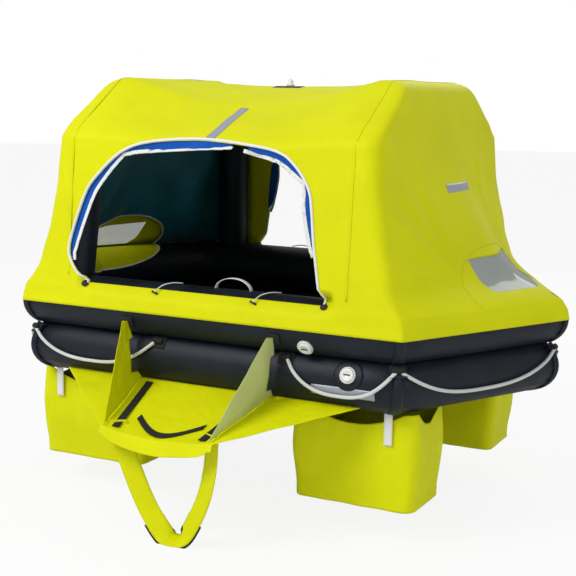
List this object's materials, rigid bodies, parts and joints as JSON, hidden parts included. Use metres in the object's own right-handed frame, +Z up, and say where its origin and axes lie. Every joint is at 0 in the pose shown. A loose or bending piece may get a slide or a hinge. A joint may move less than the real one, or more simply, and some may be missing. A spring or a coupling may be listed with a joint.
{
  "type": "inflated canopied liferaft",
  "caption": "Inflated liferaft with stacked buoyancy tubes, arch tubes, a canopy with doorways and end windows, a boarding platform with a step loop, and ballast pockets.",
  "frame": {"origin": "centre of the flat underside of the inflated floor, where the hull stands on the water or on a deck", "axes": "+X along the two doorway sides towards the end with the valves, -Y towards the side with the boarding platform, +Z up towards the canopy"},
  "size_m": [2.8592, 2.1122, 1.9851],
  "materials": {
    "rubber_coated_fabric": "satin calendered rubber on cloth",
    "canopy_fabric": "fluorescent coated ripstop cloth",
    "pocket_fabric": "fluorescent coated cloth",
    "cream_fabric": "pale back of coated cloth",
    "window_film": "clear flexible film",
    "liner_fabric": "thin coated lining",
    "flap_fabric": "thin coated cloth, gathered",
    "white_webbing": "woven tape",
    "black_webbing": "woven webbing",
    "black_plastic": "moulded",
    "white_plastic": "moulded",
    "white_rope": "braided cord",
    "cylinder_steel": "satin paint"
  },
  "bodies": {
    "raft": {"lower_tube": "rubber_coated_fabric", "upper_tube": "rubber_coated_fabric", "floor": "rubber_coated_fabric", "arch_right": "rubber_coated_fabric", "arch_left": "rubber_coated_fabric", "canopy": "canopy_fabric", "window_right": "window_film", "window_left": "window_film", "liner_right": "liner_fabric", "liner_left": "liner_fabric", "near_door_flap_left": "flap_fabric", "far_door_flap_left": "flap_fabric", "near_door_flap_right": "flap_fabric", "far_door_flap_right": "flap_fabric", "near_door_piping": "white_webbing", "far_door_piping": "white_webbing", "near_toggle_1": "black_plastic", "far_toggle_1": "black_plastic", "near_toggle_2": "black_plastic", "far_toggle_2": "black_plastic", "lamp_patch": "black_webbing", "roof_lamp": "white_plastic", "boarding_platform": "pocket_fabric", "gusset_left": "pocket_fabric", "gusset_right": "cream_fabric", "platform_webbing_left": "black_webbing", "platform_webbing_right": "black_webbing", "platform_webbing_front": "black_webbing", "step_loop": "pocket_fabric", "step_pad": "black_webbing", "pocket_near_right": "pocket_fabric", "pocket_strap_near_right": "white_webbing", "pocket_near_left": "pocket_fabric", "pocket_strap_near_left": "white_webbing", "pocket_far_right": "pocket_fabric", "pocket_strap_far_right": "white_webbing", "pocket_far_left": "pocket_fabric", "pocket_strap_far_left": "white_webbing", "upper_valve_collar": "white_plastic", "lower_valve_collar": "white_plastic", "grab_handle": "white_webbing", "lifeline_near_left": "white_rope", "lifeline_near_right": "white_rope", "lifeline_right_near": "white_rope", "lifeline_right_far": "white_rope", "lifeline_far_right": "white_rope", "lifeline_far_left": "white_rope", "lifeline_left_far": "white_rope", "lifeline_left_near": "white_rope", "gas_cylinder": "cylinder_steel", "cylinder_head": "cylinder_steel", "cylinder_sling_left": "black_webbing", "cylinder_sling_right": "black_webbing"},
    "upper_valve_cap_body": {"upper_valve_cap": "white_plastic"},
    "lower_valve_cap_body": {"lower_valve_cap": "white_plastic"}
  },
  "joints": [
    {"name": "upper_valve_cap_turn", "type": "hinge", "parent": "raft", "child": "upper_valve_cap_body", "pos_m": [0.52, -0.84913, 0.27183], "axis": [0, -0.809, -0.5878], "range_deg": [0, 90]},
    {"name": "lower_valve_cap_turn", "type": "hinge", "parent": "raft", "child": "lower_valve_cap_body", "pos_m": [0.714, -0.83657, 0.17051], "axis": [0, -0.9336, 0.3584], "range_deg": [0, 90]}
  ]
}
